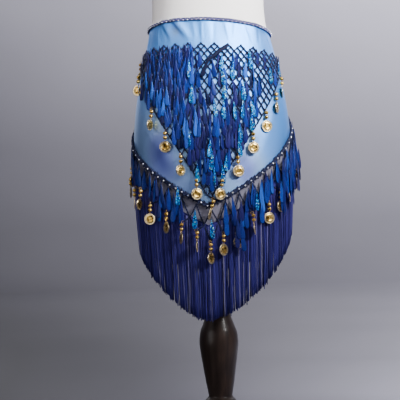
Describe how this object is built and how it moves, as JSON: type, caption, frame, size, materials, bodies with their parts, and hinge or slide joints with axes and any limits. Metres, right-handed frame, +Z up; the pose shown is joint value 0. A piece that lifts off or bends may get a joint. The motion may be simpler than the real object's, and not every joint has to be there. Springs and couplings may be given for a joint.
{
  "type": "belly dance hip scarf on a dress form",
  "caption": "Triangular satin hip scarf with knotted nets, coin drops and a long fringe, tied round a limbless dress form on a turned wooden stand.",
  "frame": {"origin": "centre of the stand's base on the floor", "axes": "+Z up the stand, the form's front faces -Y, +X to the viewer's right"},
  "size_m": [0.4, 0.4, 1.5],
  "materials": {
    "wood": "dark stained and varnished, half gloss",
    "jersey": "white stretch jersey over a padded form",
    "satin": "pale blue satin, soft sheen",
    "yarn": "dark navy crochet yarn",
    "fringe": "navy rayon fringe, silky",
    "gold": "thin stamped gold-coloured metal and beads",
    "paillette": "royal blue plastic film",
    "foil": "glittering turquoise foil",
    "silver_bead": "silver-lined glass beads"
  },
  "bodies": {
    "root": {"stand_base": "wood", "stand_column": "wood", "neck_cap": "wood", "form_torso": "jersey", "scarf_cloth": "satin", "tie_knot": "satin", "tie_end_left": "satin", "tie_end_right": "satin", "top_braid": "yarn", "hem_braid": "yarn", "upper_net": "yarn", "lower_net": "yarn", "fringe": "fringe", "coin_upper_01": "gold", "coin_upper_02": "gold", "coin_upper_03": "gold", "coin_upper_04": "gold", "coin_upper_05": "gold", "coin_upper_06": "gold", "coin_upper_07": "gold", "coin_upper_08": "gold", "coin_upper_09": "gold", "coin_upper_10": "gold", "coin_upper_11": "gold", "coin_upper_12": "gold", "coin_upper_13": "gold", "coin_upper_14": "gold", "coin_lower_01": "gold", "coin_lower_02": "gold", "coin_lower_03": "gold", "coin_lower_04": "gold", "coin_lower_05": "gold", "coin_lower_06": "gold", "coin_lower_07": "gold", "coin_lower_08": "gold", "coin_lower_09": "gold", "coin_lower_10": "gold", "coin_lower_11": "gold", "coin_lower_12": "gold", "coin_lower_13": "gold", "coin_lower_14": "gold", "coin_lower_15": "gold", "coin_lower_16": "gold", "coin_lower_17": "gold", "coin_lower_18": "gold", "coin_lower_19": "gold", "coin_lower_20": "gold", "coin_lower_21": "gold", "coin_lower_22": "gold", "coin_lower_23": "gold", "coin_lower_24": "gold", "coin_lower_25": "gold", "coin_lower_26": "gold", "coin_lower_27": "gold"}
  },
  "joints": []
}
